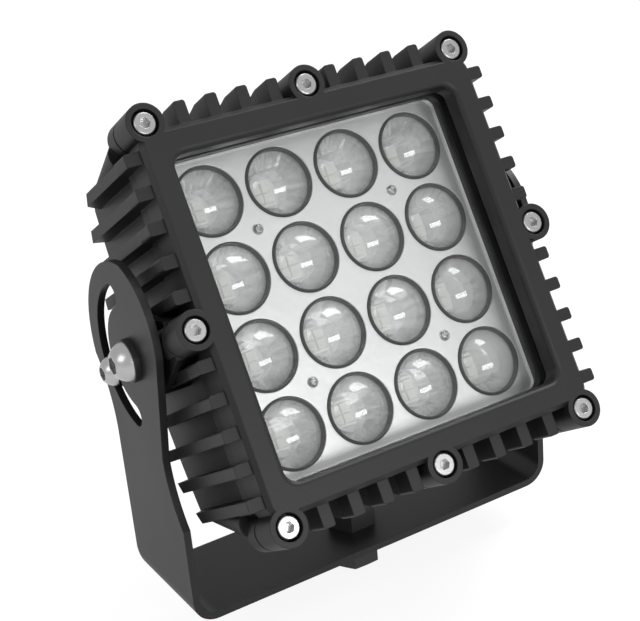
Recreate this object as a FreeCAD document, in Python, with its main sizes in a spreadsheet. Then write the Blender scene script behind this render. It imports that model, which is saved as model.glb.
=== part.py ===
"""Square flood light: a finned die-cast head that tilts in a U bracket.

The part frame has its origin under the bracket base, on the mounting hole, with X to the
right, Y to the rear and Z up. The head is drawn about its own pivot axis, with its Z axis
pointing out of the window, and is then tipped up and carried into the part frame.
"""

import FreeCAD, Part
import math
import os
import types
import Sketcher

App = FreeCAD

# Driving sizes in millimetres and degrees
sizes = {
    # Head as a whole
    "head_depth": 70.0,
    "pivot_setback": 34.0,
    "rest_tilt": 30.0,
    "running_gap": 0.3,
    "thread_gap": 0.03,
    "slip_gap": 0.1,
    # Bezel
    "bezel_half": 58.5,
    "bezel_thickness": 11.0,
    "bezel_corner": 5.0,
    "bezel_chamfer": 1.4,
    "window_half": 49.8,
    "window_corner": 4.0,
    "window_lip": 1.8,
    "lip_depth": 6.5,
    # Screw bosses round the rim
    "boss_radius": 6.0,
    "boss_row": 61.0,
    "boss_corner": 54.4,
    "boss_depth": 6.0,
    # Tabs of the bezel in line with the fins
    "side_tab_reach": 63.6,
    "top_tab_reach": 65.6,
    "tab_width": 4.0,
    "tab_corner": 0.9,
    "tab_setback": 2.0,
    # Glass and its two gaskets
    "glass_thickness": 4.0,
    "glass_half": 52.5,
    "seal_thickness": 0.5,
    "seal_inner_half": 50.4,
    "joint_thickness": 0.8,
    "joint_inner_half": 50.4,
    "joint_outer_half": 57.0,
    # Housing
    "flange_half": 57.8,
    "fin_pitch": 10.38,
    "side_fin_rows": 5.0,
    "side_fin_thickness": 3.5,
    "side_fin_reach": 63.0,
    "side_fin_depth": 61.0,
    "side_fin_radius": 85.7,
    "back_fin_rows": 4.0,
    "back_fin_thickness": 3.0,
    "back_fin_reach": 65.4,
    "back_fin_shoulder": 54.5,
    "back_fin_radius": 190.0,
    "core_half": 55.5,
    "core_depth": 64.0,
    "core_bevel": 2.5,
    "core_back_radius": 350.0,
    "gusset_depth": 42.0,
    "gusset_front_place": 56.8,
    "gusset_front_row": 57.4,
    "gusset_front_radius": 4.8,
    "gusset_rear_place": 59.6,
    "gusset_rear_radius": 2.0,
    "cavity_half": 48.7,
    "cavity_corner": 3.0,
    "step_half": 50.3,
    "driver_bay_width": 44.0,
    "driver_bay_height": 64.0,
    "driver_bay_depth": 18.0,
    # Pivot pads on the two sides
    "pad_reach": 65.0,
    "pad_radius": 13.0,
    "clamp_pad_radius": 8.5,
    # Optics
    "plate_half": 50.0,
    "plate_thickness": 1.6,
    "cup_body_half": 48.4,
    "cup_depth": 4.4,
    "cup_front_radius": 11.3,
    "cup_rear_radius": 10.5,
    "lens_rows": 4.0,
    "lens_pitch": 24.6,
    "lens_radius": 10.25,
    "lens_dome": 5.0,
    "lens_below_plate": 1.4,
    "lens_straight": 4.0,
    "lens_foot_radius": 8.6,
    "lens_recess_radius": 4.2,
    "lens_recess_depth": 3.0,
    "plate_below_glass": 4.6,
    "board_below_plate": 12.4,
    "board_half": 46.5,
    "board_thickness": 1.6,
    "chip_width": 5.0,
    "chip_height": 1.2,
    "spreader_thickness": 3.0,
    "post_radius": 2.6,
    "plate_screw_head_radius": 1.8,
    "plate_screw_head": 1.4,
    "plate_screw_radius": 1.0,
    "plate_screw_length": 14.5,
    "plate_screw_hex": 1.5,
    # Bezel screws
    "screw_radius": 2.0,
    "screw_head_radius": 3.5,
    "screw_head": 4.0,
    "screw_length": 12.0,
    "screw_sink_radius": 4.2,
    "screw_sink": 4.3,
    "screw_hex": 3.0,
    "screw_head_bevel": 0.4,
    "tap_spare": 2.0,
    # Driver
    "driver_width": 40.0,
    "driver_height": 42.0,
    "driver_thickness": 1.6,
    "driver_post": 2.0,
    "driver_post_radius": 2.5,
    "driver_post_inset": 4.0,
    "choke_radius": 7.0,
    "choke_height": 8.0,
    "choke_bore": 2.5,
    "choke_place": 10.0,
    "capacitor_radius": 4.0,
    "capacitor_height": 10.0,
    "capacitor_place": 13.0,
    "capacitor_spacing": 12.0,
    # Cable gland and breather on the back
    "gland_drop": 25.0,
    "gland_seat_radius": 12.0,
    "back_seat_depth": 60.0,
    "gland_thread_radius": 6.0,
    "gland_thread": 7.0,
    "gland_flats": 17.0,
    "gland_collar": 3.0,
    "gland_neck": 6.0,
    "gland_neck_radius": 6.8,
    "gland_bore": 3.8,
    "gland_nut_flats": 15.5,
    "gland_nut_length": 13.0,
    "seal_bore": 2.6,
    "seal_setback": 0.5,
    "vent_rise": 25.0,
    "vent_seat_radius": 9.0,
    "vent_radius": 6.5,
    "vent_height": 3.0,
    "vent_edge": 1.0,
    "vent_thread_radius": 4.0,
    "vent_thread": 7.0,
    # Bracket
    "arm_inner": 67.4,
    "strip": 2.4,
    "bend_radius": 8.0,
    "pivot_height": 85.2,
    "pivot_back": 1.5,
    "arm_head_radius": 30.5,
    "arm_head_end": -15.0,
    "arm_front_reach": 18.2,
    "arm_front_rise": 6.0,
    "arm_front_radius": 23.5,
    "neck_front": 12.3,
    "neck_drop": 29.0,
    "foot_front": 20.2,
    "foot_drop": 51.0,
    "foot_flare_radius": 40.0,
    "rear_waist": 20.5,
    "rear_waist_drop": 34.0,
    "rear_waist_radius": 40.0,
    "rear_corner_drop": 76.0,
    "base_rear": 16.0,
    "slot_radius": 20.2,
    "slot_width": 7.5,
    "slot_low": -81.0,
    "slot_high": 63.0,
    # Pivot and clamp bolts, which all end at one distance from the middle plane
    "bolt_end": 55.8,
    "socket_share": 0.55,
    "dome_share": 1.15,
    "crown_share": 1.1,
    "pivot_bolt_radius": 4.0,
    "pivot_head_radius": 6.4,
    "pivot_head": 4.4,
    "pivot_hex": 5.0,
    "pivot_washer_radius": 6.8,
    "pivot_washer": 2.0,
    "clamp_bolt_radius": 3.0,
    "clamp_head_radius": 4.9,
    "clamp_head": 3.4,
    "clamp_hex": 4.0,
    "spacer_radius": 9.0,
    "clamp_spacer_radius": 6.0,
    # Mounting bolt through the base
    "mount_bolt_radius": 5.0,
    "mount_hole_gap": 0.05,
    "mount_flats": 16.0,
    "mount_head": 6.4,
    "mount_washer_radius": 10.0,
    "mount_washer": 2.0,
    "spring_radius": 8.6,
    "spring_thickness": 2.2,
    "spring_split": 1.2,
    "mount_nut": 8.0,
    "mount_tip": 1.5,
    "mount_tip_bevel": 0.8,
    "corner_bevel": 1.0,
    "corner_bite": 0.25,
}

os.makedirs("parts", exist_ok=True)
doc = App.newDocument("flood_light")
sheet = doc.addObject("Spreadsheet::Sheet", "Sizes")
for row, (alias, number) in enumerate(sizes.items(), 1):
    sheet.set("A%d" % row, alias)
    sheet.set("B%d" % row, str(number))
    sheet.setAlias("B%d" % row, alias)
doc.recompute()


class Size:
    """A length or an angle that knows its value and its formula in terms of the sheet."""

    def __init__(self, value, formula):
        self.value = float(value)
        self.formula = formula

    def __add__(self, other):
        other = as_size(other)
        return Size(self.value + other.value, "(%s + %s)" % (self.formula, other.formula))

    def __sub__(self, other):
        other = as_size(other)
        return Size(self.value - other.value, "(%s - %s)" % (self.formula, other.formula))

    def __mul__(self, other):
        other = as_size(other)
        return Size(self.value * other.value, "(%s * %s)" % (self.formula, other.formula))

    def __truediv__(self, other):
        other = as_size(other)
        return Size(self.value / other.value, "(%s / %s)" % (self.formula, other.formula))

    def __neg__(self):
        return Size(-self.value, "(0 - %s)" % self.formula)

    def __radd__(self, other):
        return as_size(other) + self

    def __rsub__(self, other):
        return as_size(other) - self

    def __rmul__(self, other):
        return as_size(other) * self

    def __float__(self):
        return self.value


def as_size(thing):
    if isinstance(thing, Size):
        return thing
    return Size(thing, repr(float(thing)))


def root(size):
    size = as_size(size)
    return Size(math.sqrt(size.value), "sqrt(%s)" % size.formula)


def cos(size):
    size = as_size(size)
    return Size(math.cos(math.radians(size.value)), "cos(%s)" % size.formula)


def sin(size):
    size = as_size(size)
    return Size(math.sin(math.radians(size.value)), "sin(%s)" % size.formula)


s = types.SimpleNamespace(**{name: Size(sheet.get(name), "Sizes." + name) for name in sizes})


def bind(thing, name, size):
    """Set a property and tie it to the sheet."""
    size = as_size(size)
    thing.setExpression(name, size.formula)


# Bodies and sketches

pieces = []


def new_body(label):
    body = doc.addObject("PartDesign::Body", label)
    body.Label = label
    pieces.append(body)
    return body


def sketch_on(body, role, name, offset=None):
    """A sketch on one of the body's origin planes, moved along the plane's normal."""
    sketch = body.newObject("Sketcher::SketchObject", name)
    plane = [p for p in body.Origin.OriginFeatures if p.Role == role][0]
    sketch.AttachmentSupport = [(plane, "")]
    sketch.MapMode = "FlatFace"
    if offset is not None:
        bind(sketch, "AttachmentOffset.Base.z", offset)
    return sketch


def hold(sketch, kind, places, size):
    """Add a dimension and tie it to the sheet; a size of nought puts the point on the axis."""
    size = as_size(size)
    if kind in ("DistanceX", "DistanceY") and abs(size.value) < 1e-9:
        axis = -2 if kind == "DistanceX" else -1
        sketch.addConstraint(Sketcher.Constraint("PointOnObject", places[0], places[1], axis))
        return
    index = sketch.addConstraint(Sketcher.Constraint(kind, *places, size.value))
    sketch.setExpression("Constraints[%d]" % index, size.formula)


def circle(sketch, x, y, radius):
    x, y, radius = as_size(x), as_size(y), as_size(radius)
    centre = App.Vector(x.value, y.value, 0)
    index = sketch.addGeometry(Part.Circle(centre, App.Vector(0, 0, 1), radius.value))
    hold(sketch, "Radius", (index,), radius)
    hold(sketch, "DistanceX", (index, 3), x)
    hold(sketch, "DistanceY", (index, 3), y)


def arc_between(start, end, radius, turn):
    """The short arc from start to end; turn is 1 when its centre lies to the left."""
    middle = (start + end) * 0.5
    chord = end - start
    half = chord.Length / 2
    across = App.Vector(-chord.y, chord.x, 0).normalize() * turn
    rise = math.sqrt(max(radius * radius - half * half, 0.0))
    centre = middle + across * rise
    first = math.atan2(start.y - centre.y, start.x - centre.x)
    last = math.atan2(end.y - centre.y, end.x - centre.x)
    round_line = Part.Circle(centre, App.Vector(0, 0, 1), radius)
    if turn > 0:
        return Part.ArcOfCircle(round_line, first, last), 1, 2
    return Part.ArcOfCircle(round_line, last, first), 2, 1


def outline(sketch, corners):
    """A closed outline. Each corner is (x, y) or (x, y, radius, turn) for an arc to the next."""
    points = [App.Vector(as_size(c[0]).value, as_size(c[1]).value, 0) for c in corners]
    ends = []
    for number, corner in enumerate(corners):
        start = points[number]
        end = points[(number + 1) % len(points)]
        if len(corner) == 4:
            edge, first, last = arc_between(start, end, as_size(corner[2]).value, corner[3])
            index = sketch.addGeometry(edge)
            hold(sketch, "Radius", (index,), corner[2])
        else:
            index = sketch.addGeometry(Part.LineSegment(start, end))
            first, last = 1, 2
        ends.append((index, first, last))
    for number, corner in enumerate(corners):
        here = ends[number]
        before = ends[number - 1]
        link = Sketcher.Constraint("Coincident", before[0], before[2], here[0], here[1])
        sketch.addConstraint(link)
        hold(sketch, "DistanceX", (here[0], here[1]), corner[0])
        hold(sketch, "DistanceY", (here[0], here[1]), corner[1])


def rectangle(sketch, left, bottom, right, top):
    outline(sketch, [(left, bottom), (right, bottom), (right, top), (left, top)])


def rounded_square(sketch, half, corner):
    """A square about the origin with quarter rounds."""
    flat = half - corner
    outline(sketch, [
        (-flat, -half), (flat, -half, corner, 1), (half, -flat), (half, flat, corner, 1),
        (flat, half), (-flat, half, corner, 1), (-half, flat), (-half, -flat, corner, 1),
    ])


def rounded_bar(sketch, across, along, corner):
    """A bar about the given middle, with quarter rounds at its four corners."""
    left, right = across
    low, high = along
    outline(sketch, [
        (left + corner, low), (right - corner, low, corner, 1),
        (right, low + corner), (right, high - corner, corner, 1),
        (right - corner, high), (left + corner, high, corner, 1),
        (left, high - corner), (left, low + corner, corner, 1),
    ])


def pad(body, sketch, length, backward=False, midplane=False):
    feature = body.newObject("PartDesign::Pad", sketch.Name + "_pad")
    feature.Profile = sketch
    feature.Reversed = backward
    feature.Midplane = midplane
    feature.Refine = False
    bind(feature, "Length", length)
    doc.recompute()
    return feature


def pocket(body, sketch, length=None, backward=False, midplane=False):
    """Cut along the sketch's normal reversed; without a length the cut goes right through."""
    before = body.Shape.Volume
    feature = body.newObject("PartDesign::Pocket", sketch.Name + "_cut")
    feature.Profile = sketch
    feature.Reversed = backward
    feature.Midplane = midplane
    feature.Refine = False
    if length is None:
        feature.Type = "ThroughAll"
    else:
        bind(feature, "Length", length)
    doc.recompute()
    if body.Shape.Volume >= before:
        raise RuntimeError("the cut %s removes nothing" % feature.Name)
    return feature


def row_of(body, feature, axis_role, pitch, count):
    """Repeat a feature along one of the body's axes."""
    pattern = body.newObject("PartDesign::LinearPattern", feature.Name + "_row")
    pattern.Originals = [feature]
    axis = [p for p in body.Origin.OriginFeatures if p.Role == axis_role][0]
    pattern.Direction = (axis, [""])
    pattern.Refine = False
    bind(pattern, "Length", pitch * (count - 1))
    bind(pattern, "Occurrences", count)
    body.Tip = pattern
    doc.recompute()
    return pattern


def spin(body, sketch):
    """Turn a profile once round the body's Z axis."""
    feature = body.newObject("PartDesign::Revolution", sketch.Name + "_turn")
    feature.Profile = sketch
    feature.ReferenceAxis = (sketch, ["V_Axis"])
    feature.Angle = 360
    doc.recompute()
    return feature


def loft(body, name, first, last):
    """A ruled solid between two closed sketches."""
    feature = body.newObject("PartDesign::AdditiveLoft", name)
    feature.Profile = first
    feature.Sections = [last]
    feature.Ruled = True
    feature.Refine = False
    doc.recompute()
    return feature


def bevel_corners(body, name, end, step, inside, outside):
    """Turn off the corners of a hexagon at one end; step points away from that end."""
    before = body.Shape.Volume
    ring = sketch_on(body, "XZ_Plane", name)
    outline(ring, [(inside, end), (outside, end), (outside, end + step)])
    feature = body.newObject("PartDesign::Groove", name + "_turn")
    feature.Profile = ring
    feature.ReferenceAxis = (ring, ["V_Axis"])
    feature.Angle = 360
    doc.recompute()
    if body.Shape.Volume >= before:
        raise RuntimeError("the bevel %s removes nothing" % name)
    return feature


def dress(body, kind, size, chosen):
    """Round or bevel the edges of the body's last shape that the test picks."""
    base = body.Tip
    edges = enumerate(base.Shape.Edges, 1)
    names = ["Edge%d" % number for number, edge in edges if chosen(edge)]
    feature = body.newObject("PartDesign::" + kind, body.Label + "_" + kind.lower())
    feature.Base = (base, names)
    bind(feature, "Radius" if kind == "Fillet" else "Size", size)
    doc.recompute()
    return feature


# Heights closer than this are one height
FLAT = 1e-4


def flat_at(edge, height):
    box = edge.BoundBox
    return abs(box.ZMin - height) < FLAT and abs(box.ZMax - height) < FLAT


def hexagon(sketch, flats, x=0, y=0):
    """A hexagon with two sides parallel to the sketch's X axis."""
    reach = flats / root(3)
    corners = []
    for number in range(6):
        angle = number * 60
        corners.append((x + reach * cos(angle), y + reach * sin(angle)))
    outline(sketch, corners)


# Levels of the head along its own Z axis, out of the window, from the pivot axis

face = s.pivot_setback
back = face - s.head_depth
bezel_back = face - s.bezel_thickness
glass_back = bezel_back
glass_front = glass_back + s.glass_thickness
rim = bezel_back - s.joint_thickness
flange_back = rim - s.boss_depth
plate_front = glass_back - s.plate_below_glass
plate_seat = plate_front - s.plate_thickness
board_front = plate_front - s.board_below_plate
board_back = board_front - s.board_thickness
floor = board_back - s.spreader_thickness
bay_floor = floor - s.driver_bay_depth
lens_rim = plate_front - s.lens_below_plate

boss_places = []
for side in (-1, 1):
    boss_places.append((side * s.boss_row, 0))
    boss_places.append((0, side * s.boss_row))
    for other in (-1, 1):
        boss_places.append((side * s.boss_corner, other * s.boss_row))

rest = App.Rotation(App.Vector(1, 0, 0), 90 - s.rest_tilt.value)
head = App.Placement(App.Vector(0, s.pivot_back.value, s.pivot_height.value), rest)
upright = App.Placement()


def put(body, frame, x=0, y=0, z=0, axis=(0, 0, 1), angle=0):
    """Place a finished body in the head's frame or the part's; its level faces are joined."""
    body.Tip.Refine = True
    base = App.Vector(float(x), float(y), float(z))
    turn = App.Rotation(App.Vector(*axis), float(angle))
    body.Placement = frame.multiply(App.Placement(base, turn))


# Bezel: a square frame with eight screw ears, tabs in line with the fins and a window

bezel = new_body("front_bezel")
frame = sketch_on(bezel, "XY_Plane", "bezel_frame", face)
rounded_square(frame, s.bezel_half, s.bezel_corner)
pad(bezel, frame, s.bezel_thickness, backward=True)
dress(bezel, "Chamfer", s.bezel_chamfer, lambda edge: flat_at(edge, face.value))

window = sketch_on(bezel, "XY_Plane", "window", face)
rounded_square(window, s.window_half, s.window_corner)
pocket(bezel, window, s.bezel_thickness)
inner = s.window_half.value + FLAT
dress(bezel, "Fillet", s.window_lip, lambda edge: flat_at(edge, face.value)
      and max(edge.BoundBox.XMax, edge.BoundBox.YMax) <= inner
      and min(edge.BoundBox.XMin, edge.BoundBox.YMin) >= -inner)
rebate = sketch_on(bezel, "XY_Plane", "glass_rebate", bezel_back)
rounded_square(rebate, s.glass_half + s.running_gap, s.window_corner)
pocket(bezel, rebate, s.bezel_thickness - s.lip_depth, backward=True)

tab_front = face - s.tab_setback
tab_length = s.bezel_thickness - s.tab_setback
half_tab = s.tab_width / 2
low_row = -s.side_fin_rows * s.fin_pitch
left_row = -s.back_fin_rows * s.fin_pitch
for side, word in ((-1, "first"), (1, "second")):
    inner_end = side * (s.bezel_half - s.bezel_chamfer * 2)
    reach = side * s.side_tab_reach
    tab = sketch_on(bezel, "XY_Plane", "side_tab_" + word, tab_front)
    rounded_bar(tab, (min(inner_end, reach, key=float), max(inner_end, reach, key=float)),
                (low_row - half_tab, low_row + half_tab), s.tab_corner)
    tabs = pad(bezel, tab, tab_length, backward=True)
    row_of(bezel, tabs, "Y_Axis", s.fin_pitch, s.side_fin_rows * 2 + 1)
    reach = side * s.top_tab_reach
    tab = sketch_on(bezel, "XY_Plane", "top_tab_" + word, tab_front)
    rounded_bar(tab, (left_row - half_tab, left_row + half_tab),
                (min(inner_end, reach, key=float), max(inner_end, reach, key=float)), s.tab_corner)
    tabs = pad(bezel, tab, tab_length, backward=True)
    row_of(bezel, tabs, "X_Axis", s.fin_pitch, s.back_fin_rows * 2 + 1)

ears = sketch_on(bezel, "XY_Plane", "ears", face)
for x, y in boss_places:
    circle(ears, x, y, s.boss_radius)
pad(bezel, ears, s.bezel_thickness, backward=True)
sinks = sketch_on(bezel, "XY_Plane", "screw_sinks", face)
for x, y in boss_places:
    circle(sinks, x, y, s.screw_sink_radius)
pocket(bezel, sinks, s.screw_sink)
holes = sketch_on(bezel, "XY_Plane", "screw_holes", face)
for x, y in boss_places:
    circle(holes, x, y, s.screw_radius + s.thread_gap)
pocket(bezel, holes, s.bezel_thickness)
put(bezel, head)

# Window glass, with a sealing ring under the lip and a flat joint against the housing

glass = new_body("window_glass")
pane = sketch_on(glass, "XY_Plane", "pane", glass_back)
rounded_square(pane, s.glass_half, s.window_corner)
pad(glass, pane, s.glass_thickness)
put(glass, head)

seal = new_body("window_gasket")
ring = sketch_on(seal, "XY_Plane", "seal_ring", glass_front)
rounded_square(ring, s.glass_half, s.window_corner)
rounded_square(ring, s.seal_inner_half, s.window_corner)
pad(seal, ring, s.seal_thickness)
put(seal, head)

joint = new_body("body_gasket")
flat = sketch_on(joint, "XY_Plane", "joint_sheet", rim)
rounded_square(flat, s.joint_outer_half, s.bezel_corner)
rounded_square(flat, s.joint_inner_half, s.window_corner)
pad(joint, flat, s.joint_thickness)
put(joint, head)

# Housing: a hollow square casting with comb fins at its sides and full fins over the back

housing = new_body("housing")
flange = sketch_on(housing, "XY_Plane", "flange", rim)
rounded_square(flange, s.flange_half, s.bezel_corner)
pad(housing, flange, s.boss_depth, backward=True)

core_high = s.side_fin_rows * s.fin_pitch + s.side_fin_thickness / 2


def arc_edge(depth, radius, half):
    """Level where an arc about the middle plane, deepest at the given depth, has come forward."""
    return face - depth + radius - root(radius * radius - half * half)


core_flat = core_high - s.core_bevel
core_edge = arc_edge(s.core_depth, s.core_back_radius, core_flat)
core = sketch_on(housing, "YZ_Plane", "core")
outline(core, [
    (-core_high, rim), (-core_high, core_edge + s.core_bevel),
    (-core_flat, core_edge, s.core_back_radius, 1),
    (core_flat, core_edge), (core_high, core_edge + s.core_bevel), (core_high, rim),
])
pad(housing, core, s.core_half * 2, midplane=True)

# Comb fins: on each side a block that slopes in toward the back, then cut into eleven fins
root_edge = core_edge + s.core_bevel
tip_edge = arc_edge(s.side_fin_depth, s.side_fin_radius, core_high)
for side, word in ((-1, "left"), (1, "right")):
    ends = []
    for place, level, radius in ((s.core_half - s.core_bevel, root_edge, s.core_back_radius),
                                 (s.side_fin_reach, tip_edge, s.side_fin_radius)):
        section = sketch_on(housing, "YZ_Plane", "comb_%s_%d" % (word, len(ends)), side * place)
        outline(section, [
            (-core_high, rim), (-core_high, level, radius, 1), (core_high, level), (core_high, rim),
        ])
        ends.append(section)
    loft(housing, "comb_" + word, ends[0], ends[1])

gusset_end = face - s.gusset_depth
for side in (-1, 1):
    for other in (-1, 1):
        tag = "%s_%s" % ("right" if side > 0 else "left", "top" if other > 0 else "low")
        wide = sketch_on(housing, "XY_Plane", "gusset_wide_" + tag, flange_back)
        circle(wide, side * s.gusset_front_place, other * s.gusset_front_row,
               s.gusset_front_radius)
        slim = sketch_on(housing, "XY_Plane", "gusset_slim_" + tag, gusset_end)
        circle(slim, side * s.gusset_rear_place, other * (core_high - s.gusset_rear_radius),
               s.gusset_rear_radius)
        loft(housing, "gusset_" + tag, wide, slim)

hollow = sketch_on(housing, "XY_Plane", "cavity", rim)
rounded_square(hollow, s.cavity_half, s.cavity_corner)
pocket(housing, hollow, rim - floor)
step = sketch_on(housing, "XY_Plane", "plate_step", rim)
rounded_square(step, s.step_half, s.cavity_corner)
pocket(housing, step, rim - plate_seat)
bay = sketch_on(housing, "XY_Plane", "driver_bay", floor)
rectangle(bay, -s.driver_bay_width / 2, -s.driver_bay_height / 2,
          s.driver_bay_width / 2, s.driver_bay_height / 2)
pocket(housing, bay, s.driver_bay_depth)
posts = sketch_on(housing, "XY_Plane", "driver_posts", bay_floor)
for side in (-1, 1):
    for other in (-1, 1):
        circle(posts, side * (s.driver_width / 2 - s.driver_post_inset),
               other * (s.driver_height / 2 - s.driver_post_inset), s.driver_post_radius)
pad(housing, posts, s.driver_post)
plate_screw_places = [(x * s.lens_pitch, y * s.lens_pitch) for x in (-1, 1) for y in (-1, 1)]
plate_tap = sketch_on(housing, "XY_Plane", "plate_taps", floor)
for x, y in plate_screw_places:
    circle(plate_tap, x, y, s.plate_screw_radius + s.thread_gap)
pocket(housing, plate_tap, s.plate_screw_length)

beyond = s.pivot_height * 2
groove = sketch_on(housing, "XZ_Plane", "side_groove", (s.side_fin_rows - 0.5) * s.fin_pitch)
for side in (-1, 1):
    outline(groove, [
        (side * s.flange_half, rim), (side * s.flange_half, flange_back),
        (side * s.core_half, flange_back), (side * s.core_half, back),
        (side * beyond, back), (side * beyond, rim),
    ])
grooves = pocket(housing, groove, s.fin_pitch - s.side_fin_thickness, midplane=True)
row_of(housing, grooves, "Y_Axis", s.fin_pitch, s.side_fin_rows * 2)

columns = sketch_on(housing, "XY_Plane", "screw_columns", rim)
for x, y in boss_places:
    circle(columns, x, y, s.boss_radius)
pad(housing, columns, s.boss_depth, backward=True)

# Pads for the pivot and clamp bolts, one hull of two rounds on each side
clamp_level = -s.slot_radius
lean = (s.pad_radius - s.clamp_pad_radius) / s.slot_radius
cosine = root(1 - lean * lean)
pad_side = s.pad_radius * cosine
pad_lean = s.pad_radius * lean
clamp_side = s.clamp_pad_radius * cosine
clamp_lean = clamp_level - s.clamp_pad_radius * lean
for side, word in ((-1, "left"), (1, "right")):
    hull = sketch_on(housing, "YZ_Plane", "pivot_pad_" + word, side * core_flat)
    outline(hull, [
        (-s.boss_radius, rim), (-pad_side, pad_lean, s.pad_radius, 1),
        (-s.pad_radius, 0, s.pad_radius, 1), (-pad_side, -pad_lean),
        (-clamp_side, clamp_lean, s.clamp_pad_radius, 1),
        (0, clamp_level - s.clamp_pad_radius, s.clamp_pad_radius, 1),
        (clamp_side, clamp_lean), (pad_side, -pad_lean, s.pad_radius, 1),
        (s.pad_radius, 0, s.pad_radius, 1), (pad_side, pad_lean), (s.boss_radius, rim),
    ])
    pad(housing, hull, s.pad_reach - core_flat, backward=side < 0)
for side, word in ((-1, "left"), (1, "right")):
    tap = sketch_on(housing, "YZ_Plane", "side_taps_" + word, side * s.bolt_end)
    circle(tap, 0, 0, s.pivot_bolt_radius + s.thread_gap)
    circle(tap, 0, clamp_level, s.clamp_bolt_radius + s.thread_gap)
    pocket(housing, tap, s.boss_row, backward=side > 0)

# Back fins: nine full plates from the top of the head round the back to its underside
shoulder_edge = arc_edge(s.head_depth, s.back_fin_radius, s.back_fin_shoulder)
fin_root = bay_floor - s.driver_post
fin = sketch_on(housing, "YZ_Plane", "back_fin", left_row)
outline(fin, [
    (-s.back_fin_reach, rim), (-s.back_fin_shoulder, shoulder_edge, s.back_fin_radius, 1),
    (s.back_fin_shoulder, shoulder_edge), (s.back_fin_reach, rim),
    (core_flat, rim), (core_flat, fin_root), (-core_flat, fin_root), (-core_flat, rim),
])
fins = pad(housing, fin, s.back_fin_thickness, midplane=True)
row_of(housing, fins, "X_Axis", s.fin_pitch, s.back_fin_rows * 2 + 1)
taps = sketch_on(housing, "XY_Plane", "rim_taps", rim)
for x, y in boss_places:
    circle(taps, x, y, s.screw_radius + s.thread_gap)
tap_depth = s.screw_sink + s.screw_length + s.tap_spare - s.bezel_thickness - s.joint_thickness
pocket(housing, taps, tap_depth)

# Round seats cut among the back fins for the gland and the breather, with their threads
seat_level = face - s.back_seat_depth
gland_y = -s.gland_drop
seats = sketch_on(housing, "XY_Plane", "back_seats", back)
circle(seats, 0, gland_y, s.gland_seat_radius)
circle(seats, 0, s.vent_rise, s.vent_seat_radius)
pocket(housing, seats, seat_level - back, backward=True)
back_taps = sketch_on(housing, "XY_Plane", "back_taps", seat_level)
circle(back_taps, 0, gland_y, s.gland_thread_radius + s.thread_gap)
circle(back_taps, 0, s.vent_rise, s.vent_thread_radius + s.thread_gap)
pocket(housing, back_taps, bay_floor - seat_level, backward=True)
put(housing, head)

# Optics: a silvered plate with a cup round each lens, on posts above the light board

def lens_places():
    last = s.lens_rows - 1
    for row in range(int(s.lens_rows.value)):
        for column in range(int(s.lens_rows.value)):
            yield (row + 1, column + 1,
                   (column - last / 2) * s.lens_pitch, (last / 2 - row) * s.lens_pitch)


plate = new_body("reflector_plate")
sheet_rim = sketch_on(plate, "XY_Plane", "plate_rim", plate_front)
rounded_square(sheet_rim, s.plate_half, s.cavity_corner)
pad(plate, sheet_rim, s.plate_thickness, backward=True)
cup_body = sketch_on(plate, "XY_Plane", "cup_body", plate_front)
rounded_square(cup_body, s.cup_body_half, s.cavity_corner)
pad(plate, cup_body, s.cup_depth, backward=True)
plate_posts = sketch_on(plate, "XY_Plane", "plate_posts", plate_front)
for x, y in plate_screw_places:
    circle(plate_posts, x, y, s.post_radius)
pad(plate, plate_posts, s.board_below_plate, backward=True)
cups = sketch_on(plate, "XY_Plane", "cups", plate_front)
for row, column, x, y in lens_places():
    circle(cups, x, y, s.cup_front_radius)
cup_cut = pocket(plate, cups, s.cup_depth)
cup_slope = math.degrees(math.atan2(float(s.cup_front_radius - s.cup_rear_radius),
                                    float(s.cup_depth)))
cup_cut.TaperAngle = -cup_slope
doc.recompute()
plate_holes = sketch_on(plate, "XY_Plane", "plate_holes", plate_front)
for x, y in plate_screw_places:
    circle(plate_holes, x, y, s.plate_screw_radius + s.thread_gap)
pocket(plate, plate_holes)
put(plate, head)

dome_radius = (s.lens_radius * s.lens_radius + s.lens_dome * s.lens_dome) / (s.lens_dome * 2)
for row, column, x, y in lens_places():
    lens = new_body("lens_r%d_c%d" % (row, column))
    shape = sketch_on(lens, "XZ_Plane", "lens_profile_%d_%d" % (row, column))
    outline(shape, [
        (s.lens_recess_radius, board_front), (s.lens_foot_radius, board_front),
        (s.lens_radius, lens_rim - s.lens_straight), (s.lens_radius, lens_rim, dome_radius, 1),
        (0, lens_rim + s.lens_dome), (0, board_front + s.lens_recess_depth),
        (s.lens_recess_radius, board_front + s.lens_recess_depth),
    ])
    spin(lens, shape)
    put(lens, head, x, y)

board = new_body("led_board")
panel = sketch_on(board, "XY_Plane", "board_panel", board_back)
rounded_square(panel, s.board_half, s.cavity_corner)
for x, y in plate_screw_places:
    circle(panel, x, y, s.plate_screw_radius + s.thread_gap)
pad(board, panel, s.board_thickness)
put(board, head)

chips = new_body("led_emitters")
chips.AllowCompound = True
chip = sketch_on(chips, "XY_Plane", "chips", board_front)
for row, column, x, y in lens_places():
    rectangle(chip, x - s.chip_width / 2, y - s.chip_width / 2,
              x + s.chip_width / 2, y + s.chip_width / 2)
pad(chips, chip, s.chip_height)
put(chips, head)

spreader = new_body("heat_spreader")
slab = sketch_on(spreader, "XY_Plane", "spreader_slab", floor)
rounded_square(slab, s.board_half, s.cavity_corner)
for x, y in plate_screw_places:
    circle(slab, x, y, s.plate_screw_radius + s.thread_gap)
pad(spreader, slab, s.spreader_thickness)
put(spreader, head)


# Screws: each is turned from one profile with its head, then gets its socket

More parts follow.
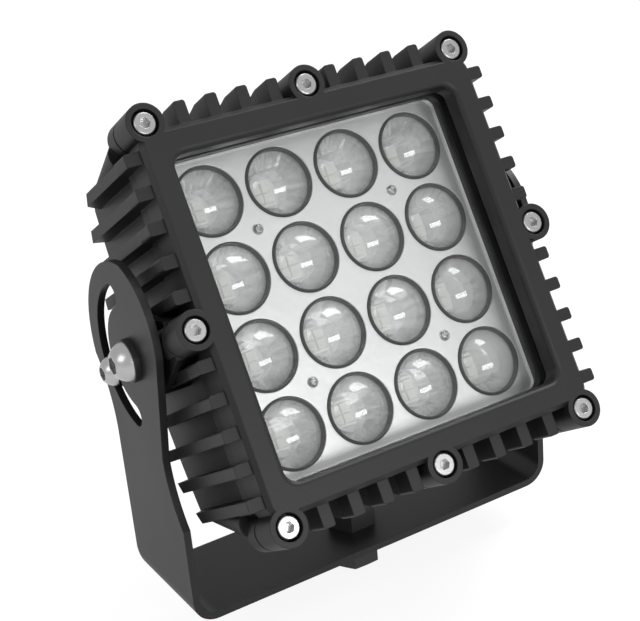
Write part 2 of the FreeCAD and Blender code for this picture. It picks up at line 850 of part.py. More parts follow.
def screw(label, radius, length, head_radius, head_height, hex_flats, domed, places):
    """Screws with their seats at the given heights; all stand along the body's Z axis."""
    body = new_body(label)
    body.AllowCompound = True
    seat = places[0][2]
    profile = sketch_on(body, "XZ_Plane", label + "_profile")
    top = seat + head_height
    if domed:
        bulge = head_radius * s.dome_share
        crown = hex_flats / root(3) * s.crown_share
        corners = [(0, seat - length), (radius, seat - length), (radius, seat),
                   (head_radius, seat, bulge, 1), (crown, top), (0, top)]
    else:
        edge = s.screw_head_bevel
        corners = [(0, seat - length), (radius, seat - length), (radius, seat),
                   (head_radius, seat), (head_radius, top - edge), (head_radius - edge, top),
                   (0, top)]
    outline(profile, corners)
    spin(body, profile)
    socket = sketch_on(body, "XY_Plane", label + "_socket", top)
    hexagon(socket, hex_flats)
    pocket(body, socket, head_height * s.socket_share)
    return body


def copies(label, master, places, frame):
    """A group of equal screws, each a separate solid, as one sub-part."""
    group = doc.addObject("Part::Feature", label)
    group.Label = label
    solids = []
    for x, y in places:
        solid = master.Shape.Solids[0].copy()
        solid.Placement = App.Placement(App.Vector(float(x), float(y), 0), App.Rotation())
        solids.append(solid)
    group.Shape = Part.makeCompound(solids)
    group.Placement = frame
    pieces.append(group)
    return group


def master_only(body):
    """A drawn piece that only serves as the pattern of a group."""
    pieces.remove(body)
    return body


rim_screw = master_only(screw(
    "rim_screw_master", s.screw_radius, s.screw_length, s.screw_head_radius, s.screw_head,
    s.screw_hex, False, [(0, 0, face - s.screw_sink)]))
copies("bezel_screws", rim_screw, boss_places, head)
plate_screw = master_only(screw(
    "plate_screw_master", s.plate_screw_radius, s.plate_screw_length,
    s.plate_screw_head_radius, s.plate_screw_head, s.plate_screw_hex, True,
    [(0, 0, plate_front)]))
copies("reflector_screws", plate_screw, plate_screw_places, head)

# Driver in the bay behind the spreader

driver_level = bay_floor + s.driver_post
driver = new_body("driver_board")
card = sketch_on(driver, "XY_Plane", "driver_card", driver_level)
rectangle(card, -s.driver_width / 2, -s.driver_height / 2, s.driver_width / 2,
          s.driver_height / 2)
pad(driver, card, s.driver_thickness)
put(driver, head)

choke_level = driver_level + s.driver_thickness
choke = new_body("driver_choke")
coil = sketch_on(choke, "XY_Plane", "choke_ring", choke_level)
circle(coil, -s.choke_place, 0, s.choke_radius)
circle(coil, -s.choke_place, 0, s.choke_bore)
pad(choke, coil, s.choke_height)
dress(choke, "Fillet", s.choke_bore / 2, lambda edge: flat_at(
    edge, (choke_level + s.choke_height).value))
put(choke, head)

cans = new_body("driver_capacitors")
cans.AllowCompound = True
can = sketch_on(cans, "XY_Plane", "cans", choke_level)
for side in (-1, 1):
    circle(can, s.capacitor_place, side * s.capacitor_spacing / 2, s.capacitor_radius)
pad(cans, can, s.capacitor_height)
put(cans, head)

# Cable gland and breather on their round seats among the back fins

seal_level = seat_level - s.gland_collar
gland = new_body("cable_gland")
collar = sketch_on(gland, "XY_Plane", "gland_collar", seat_level)
hexagon(collar, s.gland_flats)
pad(gland, collar, s.gland_collar, backward=True)
bevel_corners(gland, "collar_bevel", seal_level, s.corner_bevel,
              s.gland_flats / 2 - s.corner_bite, s.gland_flats)
neck = sketch_on(gland, "XY_Plane", "gland_neck", seal_level)
circle(neck, 0, 0, s.gland_neck_radius)
pad(gland, neck, s.gland_neck, backward=True)
thread = sketch_on(gland, "XY_Plane", "gland_thread", seat_level)
circle(thread, 0, 0, s.gland_thread_radius)
pad(gland, thread, s.gland_thread)
through = sketch_on(gland, "XY_Plane", "gland_through", seat_level + s.gland_thread)
circle(through, 0, 0, s.gland_bore)
pocket(gland, through)
put(gland, head, 0, gland_y)

nut = new_body("gland_nut")
cap_end = seal_level - s.gland_nut_length
shell = sketch_on(nut, "XY_Plane", "nut_shell", cap_end)
hexagon(shell, s.gland_nut_flats)
pad(nut, shell, s.gland_nut_length)
inside = sketch_on(nut, "XY_Plane", "nut_inside", seal_level)
circle(inside, 0, 0, s.gland_neck_radius + s.thread_gap)
pocket(nut, inside, s.gland_neck + s.thread_gap)
mouth = sketch_on(nut, "XY_Plane", "nut_mouth", cap_end)
circle(mouth, 0, 0, s.gland_bore)
pocket(nut, mouth, s.gland_nut_length, backward=True)
bevel_corners(nut, "cap_bevel", cap_end, s.corner_bevel,
              s.gland_nut_flats / 2 - s.corner_bite, s.gland_nut_flats)
put(nut, head, 0, gland_y)

grommet = new_body("gland_seal")
rubber = sketch_on(grommet, "XY_Plane", "seal_rubber", seal_level - s.gland_neck)
circle(rubber, 0, 0, s.gland_bore - s.thread_gap)
circle(rubber, 0, 0, s.seal_bore)
pad(grommet, rubber, s.gland_nut_length - s.gland_neck - s.seal_setback, backward=True)
put(grommet, head, 0, gland_y)

vent = new_body("breather_valve")
button = sketch_on(vent, "XZ_Plane", "vent_profile")
outline(button, [
    (0, seat_level - s.vent_height), (s.vent_radius - s.vent_edge, seat_level - s.vent_height),
    (s.vent_radius, seat_level - s.vent_height + s.vent_edge), (s.vent_radius, seat_level),
    (s.vent_thread_radius, seat_level), (s.vent_thread_radius, seat_level + s.vent_thread),
    (0, seat_level + s.vent_thread),
])
spin(vent, button)
put(vent, head, 0, s.vent_rise)

# Pivot bolts, clamp bolts and the spacers between pads and arms

arm_outer = s.arm_inner + s.strip
pivot_length = arm_outer + s.pivot_washer - s.bolt_end
clamp_length = arm_outer - s.bolt_end
for side, word in ((-1, "left"), (1, "right")):
    out = (0, 1, 0)
    turn = side * 90
    bolt = screw("pivot_bolt_" + word, s.pivot_bolt_radius, pivot_length,
                 s.pivot_head_radius, s.pivot_head, s.pivot_hex, True,
                 [(0, 0, arm_outer + s.pivot_washer)])
    put(bolt, head, axis=out, angle=turn)
    clamp = screw("clamp_bolt_" + word, s.clamp_bolt_radius, clamp_length,
                  s.clamp_head_radius, s.clamp_head, s.clamp_hex, True, [(0, 0, arm_outer)])
    put(clamp, head, z=clamp_level, axis=out, angle=turn)
    for label, outer, bore, base, thick, level in (
            ("pivot_washer_", s.pivot_washer_radius, s.pivot_bolt_radius, arm_outer,
             s.pivot_washer, 0),
            ("pivot_spacer_", s.spacer_radius, s.pivot_bolt_radius, s.pad_reach,
             s.arm_inner - s.pad_reach, 0),
            ("clamp_spacer_", s.clamp_spacer_radius, s.clamp_bolt_radius, s.pad_reach,
             s.arm_inner - s.pad_reach, clamp_level)):
        disc = new_body(label + word)
        face_ring = sketch_on(disc, "XY_Plane", label + word + "_ring", base)
        circle(face_ring, 0, 0, outer)
        circle(face_ring, 0, 0, bore + s.thread_gap)
        pad(disc, face_ring, thick)
        put(disc, head, z=level, axis=out, angle=turn)

# Bracket: one bent strip, trimmed to the arm's outline, with a pivot hole and an arc slot

bracket = new_body("bracket")
low = -s.pivot_height
inner_bend = s.bend_radius - s.strip
channel = sketch_on(bracket, "XZ_Plane", "bent_strip")
outline(channel, [
    (-arm_outer, beyond), (-arm_outer, low + s.bend_radius, s.bend_radius, 1),
    (-arm_outer + s.bend_radius, low), (arm_outer - s.bend_radius, low, s.bend_radius, 1),
    (arm_outer, low + s.bend_radius), (arm_outer, beyond), (s.arm_inner, beyond),
    (s.arm_inner, low + s.bend_radius, inner_bend, -1),
    (arm_outer - s.bend_radius, low + s.strip),
    (-arm_outer + s.bend_radius, low + s.strip, inner_bend, -1),
    (-s.arm_inner, low + s.bend_radius), (-s.arm_inner, beyond),
])
pad(bracket, channel, beyond, midplane=True)

trim = sketch_on(bracket, "YZ_Plane", "arm_outline")
edge = beyond * 2
rectangle(trim, -edge, -edge, edge, edge)
end = s.arm_head_end
outline(trim, [
    (0, s.arm_head_radius, s.arm_front_radius, 1),
    (-s.arm_front_reach, s.arm_front_rise),
    (-s.neck_front, -s.neck_drop, s.foot_flare_radius, -1),
    (-s.foot_front, -s.foot_drop),
    (-s.foot_front, low),
    (s.base_rear, low),
    (s.rear_waist, -s.rear_corner_drop),
    (s.rear_waist, -s.rear_waist_drop, s.rear_waist_radius, -1),
    (s.arm_head_radius * cos(end), s.arm_head_radius * sin(end), s.arm_head_radius, 1),
    (s.arm_head_radius, 0, s.arm_head_radius, 1),
])
pocket(bracket, trim, edge, midplane=True)

pivot_hole = sketch_on(bracket, "YZ_Plane", "pivot_hole")
circle(pivot_hole, 0, 0, s.pivot_bolt_radius + s.slip_gap)
pocket(bracket, pivot_hole, edge, midplane=True)
slot = sketch_on(bracket, "YZ_Plane", "tilt_slot")
half_slot = s.slot_width / 2
wide_arc = s.slot_radius + half_slot
slim_arc = s.slot_radius - half_slot
middle = (s.slot_low + s.slot_high) / 2


def on_arc(radius, angle, ahead=0):
    """A point at an angle about the pivot, moved ahead along the turning direction."""
    return (radius * cos(angle) - ahead * sin(angle), radius * sin(angle) + ahead * cos(angle))


outline(slot, [
    (*on_arc(slim_arc, s.slot_low), half_slot, 1),
    (*on_arc(s.slot_radius, s.slot_low, -half_slot), half_slot, 1),
    (*on_arc(wide_arc, s.slot_low), wide_arc, 1),
    (*on_arc(wide_arc, middle), wide_arc, 1),
    (*on_arc(wide_arc, s.slot_high), half_slot, 1),
    (*on_arc(s.slot_radius, s.slot_high, half_slot), half_slot, 1),
    (*on_arc(slim_arc, s.slot_high), slim_arc, -1),
    (*on_arc(slim_arc, middle), slim_arc, -1),
])
pocket(bracket, slot, edge, midplane=True)
mount_hole = sketch_on(bracket, "XY_Plane", "mount_hole", low)
circle(mount_hole, 0, -s.pivot_back, s.mount_bolt_radius + s.mount_hole_gap)
pocket(bracket, mount_hole, s.bend_radius, backward=True)
bracket.Placement = App.Placement(
    App.Vector(0, s.pivot_back.value, s.pivot_height.value), App.Rotation())

# Mounting bolt, standing head up through the base, with its washers and nut below

bolt = new_body("mount_bolt")
bolt_head = sketch_on(bolt, "XY_Plane", "bolt_head", s.strip)
hexagon(bolt_head, s.mount_flats)
pad(bolt, bolt_head, s.mount_head)
nut_round = s.mount_flats / 2 - s.corner_bite
bevel_corners(bolt, "head_bevel", s.strip + s.mount_head, -s.corner_bevel, nut_round,
              s.mount_flats)
shank = sketch_on(bolt, "XY_Plane", "bolt_shank", s.strip)
circle(shank, 0, 0, s.mount_bolt_radius)
stack = s.mount_washer + s.spring_thickness + s.mount_nut
pad(bolt, shank, s.strip + stack + s.mount_tip, backward=True)
dress(bolt, "Chamfer", s.mount_tip_bevel, lambda edge: flat_at(edge, -(stack + s.mount_tip).value))
put(bolt, upright)

washer = new_body("mount_washer")
washer_ring = sketch_on(washer, "XY_Plane", "mount_washer_ring")
circle(washer_ring, 0, 0, s.mount_washer_radius)
circle(washer_ring, 0, 0, s.mount_bolt_radius + s.thread_gap)
pad(washer, washer_ring, s.mount_washer, backward=True)
put(washer, upright)

spring = new_body("spring_washer")
spring_ring = sketch_on(spring, "XY_Plane", "spring_ring", -s.mount_washer)
circle(spring_ring, 0, 0, s.spring_radius)
circle(spring_ring, 0, 0, s.mount_bolt_radius + s.thread_gap)
pad(spring, spring_ring, s.spring_thickness, backward=True)
split = sketch_on(spring, "XY_Plane", "spring_split", -s.mount_washer)
rectangle(split, 0, -s.spring_split / 2, s.spring_radius * 2, s.spring_split / 2)
pocket(spring, split, s.spring_thickness)
put(spring, upright)

mount_nut = new_body("mount_nut")
nut_body = sketch_on(mount_nut, "XY_Plane", "nut_body", -s.mount_washer - s.spring_thickness)
hexagon(nut_body, s.mount_flats)
circle(nut_body, 0, 0, s.mount_bolt_radius + s.thread_gap)
pad(mount_nut, nut_body, s.mount_nut, backward=True)
nut_top = -s.mount_washer - s.spring_thickness
bevel_corners(mount_nut, "nut_bevel", nut_top - s.mount_nut, s.corner_bevel, nut_round,
              s.mount_flats)
bevel_corners(mount_nut, "nut_top_bevel", nut_top, -s.corner_bevel, nut_round, s.mount_flats)
put(mount_nut, upright)

# Check every object, then write each sub-part

doc.recompute()
for thing in doc.Objects:
    if "Invalid" in thing.State or "Error" in thing.State:
        raise RuntimeError("%s could not be built" % thing.Name)
for piece in pieces:
    if piece.Shape.isNull() or not piece.Shape.isValid():
        raise RuntimeError("%s has no valid shape" % piece.Label)
for piece in pieces:
    piece.Shape.exportStep("parts/%s.step" % piece.Label)
    print(piece.Label, len(piece.Shape.Solids), round(piece.Shape.Volume, 1))
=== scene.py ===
# %% [markdown]
# # A square flood light on a U bracket
#
# The construction model gives every solid in its true place. This lesson dresses it: it
# sets up the camera and the light, gives each piece its finish, and adds the small parts
# that are seen from close up.

# %% The frame
import math
import bmesh
import bpy
from mathutils import Matrix, Vector


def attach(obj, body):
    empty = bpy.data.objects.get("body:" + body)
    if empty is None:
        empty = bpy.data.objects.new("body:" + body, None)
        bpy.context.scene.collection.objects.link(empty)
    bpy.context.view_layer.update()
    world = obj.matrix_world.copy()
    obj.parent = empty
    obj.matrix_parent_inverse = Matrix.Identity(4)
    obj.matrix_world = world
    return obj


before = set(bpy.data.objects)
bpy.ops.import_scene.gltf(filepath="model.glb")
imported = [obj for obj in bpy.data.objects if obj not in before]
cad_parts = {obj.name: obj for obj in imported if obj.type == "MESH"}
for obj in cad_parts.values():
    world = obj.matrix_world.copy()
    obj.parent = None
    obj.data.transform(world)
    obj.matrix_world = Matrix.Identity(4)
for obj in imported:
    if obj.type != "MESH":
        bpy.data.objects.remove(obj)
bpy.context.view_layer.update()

# %% [markdown]
# The head of the lamp is tipped up by thirty degrees about its pivot. Pieces for the head
# are easier to draw in the head's own axes, with Z pointing out of the window, so one
# matrix carries them from there into the scene.

# %% The head's own axes
MM = 0.001
PIVOT = Vector((0.0, 1.5, 85.2)) * MM
HEAD = Matrix.Translation(PIVOT) @ Matrix.Rotation(math.radians(60.0), 4, "X")
FACE = 34.0
BOARD = 6.0
LENS_PITCH = 24.6
lens_places = [((c - 1.5) * LENS_PITCH, (1.5 - r) * LENS_PITCH)
               for r in range(4) for c in range(4)]
print("window faces", (HEAD.to_3x3() @ Vector((0, 0, 1))).to_tuple(3))

# %% [markdown]
# The camera stands low at the left of the lamp and is rolled a little, as in the
# photograph. The lens is long, which keeps the square head nearly square.

# %% The camera
camera_data = bpy.data.cameras.new("camera")
camera_data.sensor_fit = "HORIZONTAL"
camera_data.sensor_width = 36.0
camera_data.lens = 81.56
camera_data.clip_start = 0.01
camera = bpy.data.objects.new("camera", camera_data)
camera.location = Vector((-216.34, -369.29, 265.91)) * MM
camera.rotation_euler = [math.radians(a) for a in (66.5386, 4.9533, -31.9954)]
bpy.context.scene.collection.objects.link(camera)
bpy.context.scene.camera = camera
bpy.context.scene.view_settings.view_transform = "Standard"

# %% [markdown]
# The floor is a plain sheet that curves up nowhere: the camera looks down on it, so it
# fills the background. A white room lights it evenly, and the lamp keeps its soft shadow.

# %% The floor and the light
floor_mesh = bpy.data.meshes.new("floor")
grid = bmesh.new()
bmesh.ops.create_grid(grid, x_segments=1, y_segments=1, size=4.0)
bmesh.ops.translate(grid, verts=grid.verts, vec=(0, 0, -0.0138))
grid.to_mesh(floor_mesh)
grid.free()
floor = bpy.data.objects.new("floor", floor_mesh)
bpy.context.scene.collection.objects.link(floor)


def soft_box(name, size, radiance, away, along):
    """A rectangular soft box a metre or so away, facing the lamp, with its long side given."""
    data = bpy.data.lights.new(name, "AREA")
    data.shape = "RECTANGLE"
    data.size, data.size_y = size
    data.energy = radiance * math.pi * size[0] * size[1]
    middle = Vector((0, 0, 0.09))
    back = Vector(away).normalized()
    side = Vector(along) - Vector(along).project(back)
    side.normalize()
    turn = Matrix((side, back.cross(side), back)).transposed().to_4x4()
    lamp = bpy.data.objects.new(name, data)
    lamp.matrix_world = Matrix.Translation(middle + Vector(away)) @ turn
    bpy.context.scene.collection.objects.link(lamp)
    print(name, "power", round(data.energy, 2))
    return lamp


soft_box("strip_box", (0.90, 0.36), 6.5, (0.553, 0.034, 0.832), (0.76, 0.36, -0.54))
soft_box("front_box", (0.60, 0.22), 7.5, (0.129, -0.964, 0.233), (1.0, 0.13, 0.0))
soft_box("left_box", (0.50, 0.50), 2.2, (-1.0, -0.25, 0.60), (0.0, 1.0, 0.0))

# %% [markdown]
# Shader maths reads best as plain sums. A small class wraps an output socket, and its
# operators add Math nodes, so that a mask can be written as an expression.

# %% Expressions for shader nodes
class Wire:
    """An output socket that can be added, subtracted and multiplied."""

    def __init__(self, tree, socket):
        self.tree = tree
        self.socket = socket

    def math(self, operation, *values):
        node = self.tree.nodes.new("ShaderNodeMath")
        node.operation = operation
        for number, value in enumerate(values):
            if isinstance(value, Wire):
                self.tree.links.new(value.socket, node.inputs[number])
            else:
                node.inputs[number].default_value = value
        return Wire(self.tree, node.outputs[0])

    def __add__(self, other):
        return self.math("ADD", self, other)

    def __sub__(self, other):
        return self.math("SUBTRACT", self, other)

    def __mul__(self, other):
        return self.math("MULTIPLY", self, other)

    def __truediv__(self, other):
        return self.math("DIVIDE", self, other)

    def __radd__(self, other):
        return self.math("ADD", other, self)

    def __rsub__(self, other):
        return self.math("SUBTRACT", other, self)

    def __rmul__(self, other):
        return self.math("MULTIPLY", other, self)


class Finish:
    """One material: makes its nodes and wires them."""

    def __init__(self, name):
        self.material = bpy.data.materials.new(name)
        self.material.use_nodes = True
        self.tree = self.material.node_tree
        self.tree.nodes.clear()
        self.output = self.tree.nodes.new("ShaderNodeOutputMaterial")

    def node(self, kind, settings=None, sockets=None, stops=None, out=0):
        """Add a node, set what it is, then its sockets; give back one output."""
        made = self.tree.nodes.new("ShaderNode" + kind)
        for key, value in (settings or {}).items():
            setattr(made, key, value)
        if stops:
            ramp = made.color_ramp.elements
            while len(ramp) < len(stops):
                ramp.new(0.5)
            for element, (place, colour) in zip(ramp, stops):
                element.position = place
                element.color = (*colour, 1.0)
        for key, value in (sockets or {}).items():
            if isinstance(value, Wire):
                self.tree.links.new(value.socket, made.inputs[key])
            else:
                made.inputs[key].default_value = value
        return Wire(self.tree, made.outputs[out])

    def place(self):
        """Object coordinates, in metres."""
        return self.node("TexCoord", out="Object")

    def noise(self, scale, detail=2.0, rough=0.5, where=None):
        sockets = {"Vector": where or self.place(), "Scale": scale, "Detail": detail,
                   "Roughness": rough}
        return self.node("TexNoise", None, sockets, out=0)

    def mix(self, factor, first, second):
        """Blend two colours."""
        return self.node("Mix", {"data_type": "RGBA"},
                         {0: factor, 6: first, 7: second}, out=2)

    def bump(self, height, strength, distance, normal=None):
        sockets = {"Height": height, "Strength": strength, "Distance": distance}
        if normal is not None:
            sockets["Normal"] = normal
        return self.node("Bump", None, sockets)

    def surface(self, shader):
        self.tree.links.new(shader.socket, self.output.inputs["Surface"])
        return self.material

    def principled(self, **sockets):
        named = {key.replace("_", " "): value for key, value in sockets.items()}
        return self.surface(self.node("BsdfPrincipled", None, named))


def soft_edges(finish, radius):
    """Rounds the shading of sharp edges, as paint and casting do."""
    return finish.node("Bevel", {"samples": 4}, {"Radius": radius})


def grey(level):
    return (level, level, level, 1.0)


# %% [markdown]
# The floor is a pale sheet. It is lit by the room, and the share that the camera adds
# keeps it white while the shadow of the lamp stays. The room beyond it is white to the
# camera too, and what it sheds on the lamp stays at a plain level.

# %% The floor's sheet and the room
ROOM_LIGHT = 0.4
ROOM_SHINE = 0.6
sheet = Finish("floor_sheet")
seen = (sheet.node("LightPath", out="Is Camera Ray")
        + sheet.node("LightPath", out="Is Glossy Ray") * 0.7
        + sheet.node("LightPath", out="Is Transmission Ray"))
glow = sheet.node("Emission", None, {"Color": grey(1.0), "Strength": 0.87})
card = sheet.node("BsdfDiffuse", None, {"Color": grey(0.26)})
bright = sheet.node("AddShader", None, {0: card, 1: glow})
dim = sheet.node("BsdfDiffuse", None, {"Color": grey(0.2)})
share = seen.math("MINIMUM", seen, 1.0)
sheet.surface(sheet.node("MixShader", None, {0: share, 1: dim, 2: bright}))
floor.data.materials.append(sheet.material)

world = bpy.data.worlds.new("room")
world.use_nodes = True
bpy.context.scene.world = world
room = world.node_tree
backdrop = room.nodes["Background"]
backdrop.inputs["Color"].default_value = grey(1.0)
path = room.nodes.new("ShaderNodeLightPath")
rays = [Wire(room, path.outputs[kind])
        for kind in ("Is Camera Ray", "Is Glossy Ray", "Is Transmission Ray")]
straight = rays[0] + rays[2]
strength = ROOM_LIGHT + straight * (1.0 - ROOM_LIGHT) + rays[1] * (ROOM_SHINE - ROOM_LIGHT)
room.links.new(strength.socket, backdrop.inputs["Strength"])

# %% [markdown]
# The casting and the bracket wear a black powder coat. Powder melts into a skin with a
# very fine orange peel, so the gloss is broken up by bump and the tone hardly changes.

# %% Powder coat
def powder_coat(name, base, roughness, edge, gloss):
    coat = Finish(name)
    peel = coat.noise(900.0, 2.0)
    speck = coat.noise(2600.0, 1.0)
    cloud = coat.noise(35.0, 3.0)
    colour = coat.mix(cloud, grey(base * 0.8), grey(base * 1.25))
    skin = coat.bump(peel * 0.7 + speck * 0.3, 0.25, 0.0002, soft_edges(coat, edge))
    return coat.principled(Base_Color=colour, Roughness=roughness + cloud * 0.08,
                           Specular_IOR_Level=gloss, Normal=skin)


casting_coat = powder_coat("casting_coat", 0.014, 0.42, 0.0005, 0.4)
bracket_coat = powder_coat("bracket_coat", 0.016, 0.38, 0.0003, 0.42)

# %% [markdown]
# The window is a flat sheet of toughened glass, and a thick glass shader would only add
# noise behind it. A clear shader under a thin mirror is enough: the mirror grows stronger
# towards a slanting view, as it does on real glass. The lenses are solid acrylic, so they
# bend the view for real, with a little haze for the frosting inside and a hard clear skin.
# The plate is plastic with a silvered face, which is why it is not a full metal.

# %% Glass, lenses and silvered plate
pane = Finish("toughened_glass")
clear = pane.node("BsdfTransparent", None, {"Color": (0.975, 0.98, 0.98, 1.0)})
shine = pane.node("BsdfGlossy", None, {"Color": grey(1.0), "Roughness": 0.02})
slant = pane.node("LayerWeight", None, {"Blend": 0.5}, out="Facing")
smear = pane.noise(30.0, 2.0)
mirrored = (0.04 + slant.math("POWER", slant, 5.0) * 0.96) * (0.9 + smear * 0.2)
glass_finish = pane.surface(pane.node("MixShader", None, {0: mirrored, 1: clear, 2: shine}))

acrylic = Finish("lens_acrylic")
ripple = acrylic.bump(acrylic.noise(60.0, 1.0), 0.05, 0.0004)
body = acrylic.node("BsdfPrincipled", None, {
    "Base Color": grey(0.98), "Roughness": 0.02, "IOR": 1.49, "Transmission Weight": 1.0,
    "Coat Weight": 1.0, "Coat Roughness": 0.02, "Normal": ripple})
haze = acrylic.node("BsdfPrincipled", None, {
    "Base Color": grey(0.85), "Roughness": 0.03, "IOR": 1.75, "Coat Weight": 1.0,
    "Coat Roughness": 0.02, "Normal": ripple})
veiled = acrylic.node("MixShader", None, {0: 0.3, 1: body, 2: haze})
through = acrylic.node("BsdfTransparent", None, {"Color": grey(0.95)})
lens_finish = acrylic.surface(acrylic.node("MixShader", None, {
    0: acrylic.node("LightPath", out="Is Shadow Ray"), 1: veiled, 2: through}))

silver = Finish("silvered_plate")
dimple = silver.noise(420.0, 2.0)
wave = silver.noise(45.0, 1.0)
tone = silver.mix(silver.noise(40.0, 2.0), grey(0.86), grey(0.97))
silver_finish = silver.principled(
    Base_Color=tone, Metallic=0.75, Roughness=0.36 + dimple * 0.08,
    Normal=silver.bump(dimple * 0.3 + wave * 2.0, 0.35, 0.0006, soft_edges(silver, 0.0003)))

# %% [markdown]
# The screws are bright stainless steel and the mounting hardware is black zinc. Turned
# metal has very fine lines, so one function makes each steel from a tone, a roughness and
# how much it is still a metal under its coating.

# %% Metals
def steel(name, base, roughness, metallic=1.0):
    metal = Finish(name)
    lines = metal.noise(1500.0, 2.0)
    tone = metal.mix(metal.noise(120.0, 2.0), grey(base * 0.86), grey(base))
    return metal.principled(
        Base_Color=tone, Metallic=metallic, Roughness=roughness + lines * 0.1,
        Normal=metal.bump(lines, 0.15, 0.0001, soft_edges(metal, 0.0003)))


bright_steel = steel("bright_steel", 0.62, 0.24)
black_zinc = steel("black_zinc", 0.06, 0.38, 0.6)
plain_aluminium = steel("plain_aluminium", 0.7, 0.35)

# %% [markdown]
# Everything moulded or laminated gets one kind of finish: a colour with a fine grain that
# also lifts the surface a little. Rubber is rough, nylon is smoother, and the boards and
# the light emitters behind the lenses have colours of their own.

# %% Plastics, rubber and boards
def moulding(name, colour, roughness, grain=700.0):
    plastic = Finish(name)
    fine = plastic.noise(grain, 2.0)
    light = (*[c * 1.15 for c in colour[:3]], 1.0)
    tone = plastic.mix(fine, colour, light)
    return plastic.principled(
        Base_Color=tone, Roughness=roughness,
        Normal=plastic.bump(fine, 0.2, 0.0002, soft_edges(plastic, 0.0003)))


black_rubber = moulding("black_rubber", grey(0.012), 0.7)
black_nylon = moulding("black_nylon", grey(0.014), 0.45)
white_board = moulding("white_board", grey(0.78), 0.4)
green_board = moulding("green_board", (0.02, 0.14, 0.06, 1.0), 0.4)
chip_white = moulding("chip_white", grey(0.9), 0.35)
copper_coat = moulding("copper_coat", (0.45, 0.18, 0.06, 1.0), 0.35)
sleeve = moulding("capacitor_sleeve", (0.012, 0.012, 0.03, 1.0), 0.3)

# %% [markdown]
# The solids of the construction model keep their shapes. Each one is handed a finish by its
# name, and families of pieces, such as lenses, bolts and spacers, are found by the start of
# their names, so that no piece stays bare.

# %% Finishes on the nodes
finishes = {
    "housing": casting_coat, "front_bezel": casting_coat, "bracket": bracket_coat,
    "window_glass": glass_finish, "window_gasket": black_rubber, "body_gasket": black_rubber,
    "reflector_plate": silver_finish, "led_board": white_board, "led_emitters": chip_white,
    "heat_spreader": plain_aluminium, "bezel_screws": bright_steel,
    "reflector_screws": bright_steel, "driver_board": green_board,
    "driver_choke": copper_coat, "driver_capacitors": sleeve, "cable_gland": black_nylon,
    "gland_nut": black_nylon, "gland_seal": black_rubber, "breather_valve": black_nylon,
    "mount_bolt": black_zinc, "mount_washer": black_zinc, "spring_washer": black_zinc,
    "mount_nut": black_zinc,
}
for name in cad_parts:
    if name.startswith("lens_"):
        finishes[name] = lens_finish
    elif name.startswith(("pivot_bolt", "clamp_bolt")):
        finishes[name] = bright_steel
    elif name.startswith("pivot_washer"):
        finishes[name] = black_zinc
    elif "spacer" in name:
        finishes[name] = black_nylon
for name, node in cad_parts.items():
    node = node if isinstance(node, bpy.types.Object) else bpy.data.objects[name]
    node.data.materials.clear()
    node.data.materials.append(finishes[name])
print("finished nodes:", len(finishes))

# %% [markdown]
# New pieces are drawn as bmesh shapes in the head's own millimetres. One helper carries a
# finished mesh into the scene, gives it its finish and lets it ride on the lamp's head.

# %% A helper for pieces of the head
def head_piece(name, shape, finish, frame_matrix=HEAD, body="lamp_head"):
    """Turn a bmesh in millimetres into a piece that rides on a body."""
    bmesh.ops.remove_doubles(shape, verts=shape.verts, dist=1e-5)
    bmesh.ops.recalc_face_normals(shape, faces=shape.faces)
    bmesh.ops.transform(shape, matrix=frame_matrix @ Matrix.Scale(MM, 4), verts=shape.verts)
    mesh = bpy.data.meshes.new(name)
    shape.to_mesh(mesh)
    shape.free()
    piece = bpy.data.objects.new(name, mesh)
    bpy.context.scene.collection.objects.link(piece)
    mesh.materials.append(finish)
    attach(piece, body)
    print(name, len(mesh.polygons), "faces")
    return piece


def ring_of(shape, profile, steps, x=0.0, y=0.0):
    """Spin a closed profile of (radius, height) points once round the Z axis at a place."""
    corners = [shape.verts.new((x + r, y, z)) for r, z in profile]
    edges = [shape.edges.new((corners[i - 1], corners[i])) for i in range(len(corners))]
    bmesh.ops.spin(shape, geom=corners + edges, cent=(x, y, 0), axis=(0, 0, 1),
                   angle=math.tau, steps=steps, use_merge=True)


# %% [markdown]
# Each lens stands in a near-black collar that fills the slit between the lens and its cup.
# The collar is painted shade, put where the slit lies in shadow. From the side it is the dark
# crescent round every dome. It is a small profile spun once.

# %% Painted-shade collars round the lenses
PLATE = 18.4
shade_collars = bmesh.new()
shade_collar_profile = [(10.32, PLATE - 4.2), (10.98, PLATE - 4.2), (11.1, PLATE - 0.9),
                  (10.7, PLATE + 0.8), (10.6, PLATE + 0.95), (10.5, PLATE + 0.95),
                  (10.4, PLATE + 0.8)]
for x, y in lens_places:
    ring_of(shade_collars, shade_collar_profile, 40, x, y)
# The collars' near-black tone is painted shade for the shadowed slit between lens and cup.
shade_collar_finish = moulding("lens_shade_collar", grey(0.05), 0.35)
head_piece("lens_shade_collars", shade_collars, shade_collar_finish)

# %% [markdown]
# Under each dome sits an emitter with four light dies in a square. The domes enlarge them,
# so they are worth making: a bevelled pad each, a fifth of a millimetre apart.

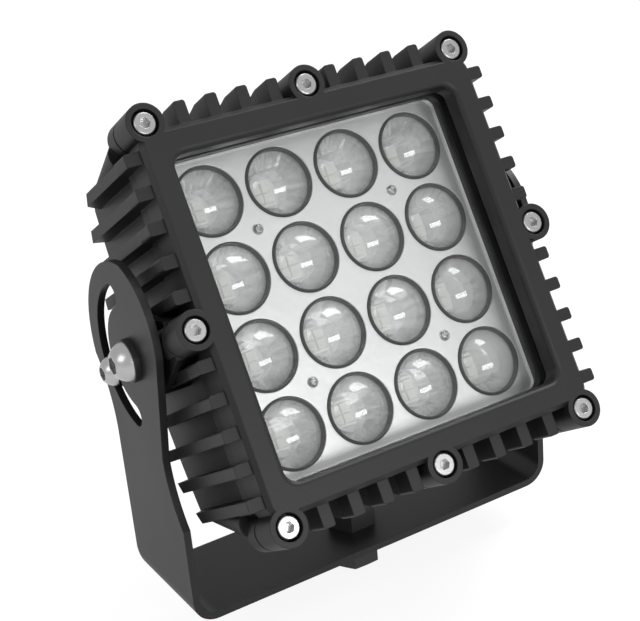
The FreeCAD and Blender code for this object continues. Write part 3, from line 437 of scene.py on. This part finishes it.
# %% Four dies on each emitter
def pad_block(shape, middle, size, round_off):
    """A block with bevelled upper edges, drawn from a cube."""
    made = bmesh.ops.create_cube(shape, size=1.0)
    corners = made["verts"]
    bmesh.ops.scale(shape, vec=size, verts=corners)
    bmesh.ops.translate(shape, vec=middle, verts=corners)
    top = middle[2] + size[2] / 2 - 1e-6
    rim = [e for e in {e for v in corners for e in v.link_edges}
           if all(v.co.z > top for v in e.verts)]
    bmesh.ops.bevel(shape, geom=rim, offset=round_off, offset_type="OFFSET", segments=2,
                    profile=0.5, affect="EDGES", material=-1)


DIE = 1.9
DIE_STEP = 1.05
dies = bmesh.new()
for x, y in lens_places:
    for across in (-DIE_STEP, DIE_STEP):
        for along in (-DIE_STEP, DIE_STEP):
            pad_block(dies, (x + across, y + along, BOARD + 1.2 + 0.28), (DIE, DIE, 0.5), 0.12)
phosphor = moulding("die_phosphor", (0.80, 0.79, 0.73, 1.0), 0.3, 1500.0)
head_piece("emitter_dies", dies, phosphor)

# %% [markdown]
# The silvered plate ends in a thin upturned rim against the wall of the casting. A sheet
# gets its corners rounded, its face is taken away, and its edges are drawn up into a wall.

# %% The plate's upturned rim
RIM_HALF = 50.04
RIM_CORNER = 3.0
RIM_HEIGHT = 0.7
rim_wall = bmesh.new()
bmesh.ops.create_grid(rim_wall, x_segments=1, y_segments=1, size=RIM_HALF)
bmesh.ops.bevel(rim_wall, geom=rim_wall.verts[:], offset=RIM_CORNER, offset_type="OFFSET",
                segments=8, profile=0.5, affect="VERTICES", material=-1)
bmesh.ops.translate(rim_wall, verts=rim_wall.verts, vec=(0, 0, PLATE + 0.02))
bmesh.ops.delete(rim_wall, geom=rim_wall.faces[:], context="FACES_ONLY")
drawn = bmesh.ops.extrude_edge_only(rim_wall, edges=rim_wall.edges[:])["geom"]
upper = [v for v in drawn if isinstance(v, bmesh.types.BMVert)]
bmesh.ops.translate(rim_wall, verts=upper, vec=(0, 0, RIM_HEIGHT))
bmesh.ops.recalc_face_normals(rim_wall, faces=rim_wall.faces)
bmesh.ops.solidify(rim_wall, geom=rim_wall.faces[:], thickness=-0.2)
print("rim reaches", round(max(v.co.x for v in rim_wall.verts), 2))
head_piece("plate_rim", rim_wall, silver_finish)
